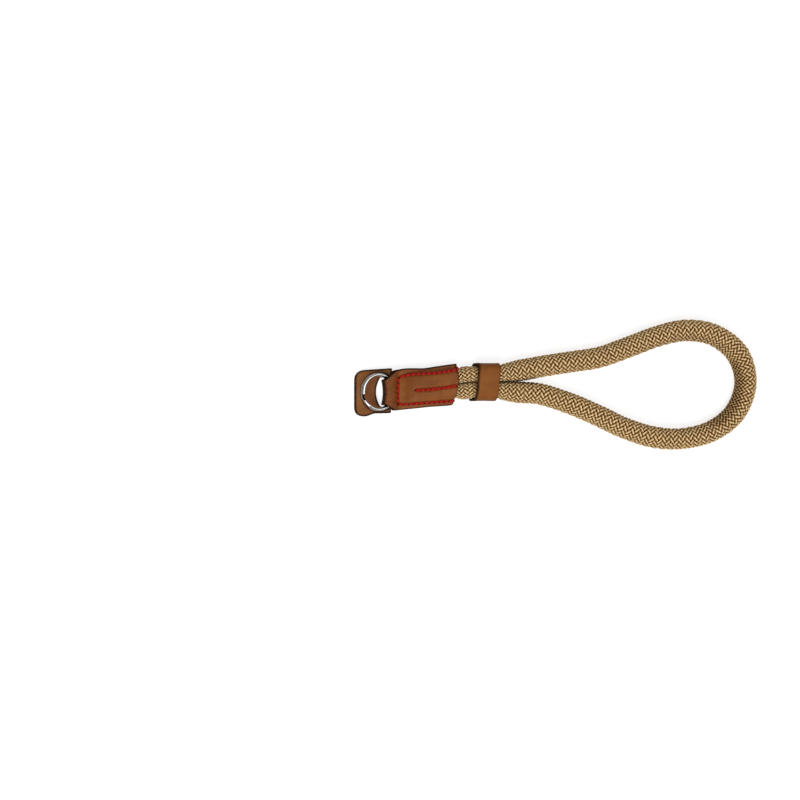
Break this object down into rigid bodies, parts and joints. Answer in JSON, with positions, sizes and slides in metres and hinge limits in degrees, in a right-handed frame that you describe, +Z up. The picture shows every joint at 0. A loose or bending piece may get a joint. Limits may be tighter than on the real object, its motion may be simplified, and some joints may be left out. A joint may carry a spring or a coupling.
{
  "type": "camera wrist strap",
  "caption": "Braided rope wrist loop with a folded leather end that holds a split ring and a protector pad, and a leather keeper slider on the strands.",
  "frame": {"origin": "on the table under the middle of the whole strap", "axes": "+Z up from the table the strap lies on, +X along the strap from the split ring towards the wrist loop, +Y to the left of that direction"},
  "size_m": [0.1986, 0.0631, 0.012],
  "materials": {
    "braided_rope": "round braid of tan cotton yarns, matt",
    "patch_leather": "smooth tan cowhide, satin, stitched in red",
    "pad_leather": "tan cowhide, satin",
    "nickel": "bright nickel plate on spring steel",
    "slider_leather": "smooth tan cowhide, satin, dark edges"
  },
  "bodies": {
    "strap": {"rope_loop": "braided_rope", "end_patch": "patch_leather", "protector_pad": "pad_leather", "keeper_slider": "slider_leather"},
    "ring": {"split_ring": "nickel"}
  },
  "joints": [
    {"name": "ring_turn", "type": "hinge", "parent": "strap", "child": "ring", "pos_m": [-0.08885, -0.00395, 0.00788], "axis": [0.3584, 0, 0.9336], "continuous": true}
  ]
}
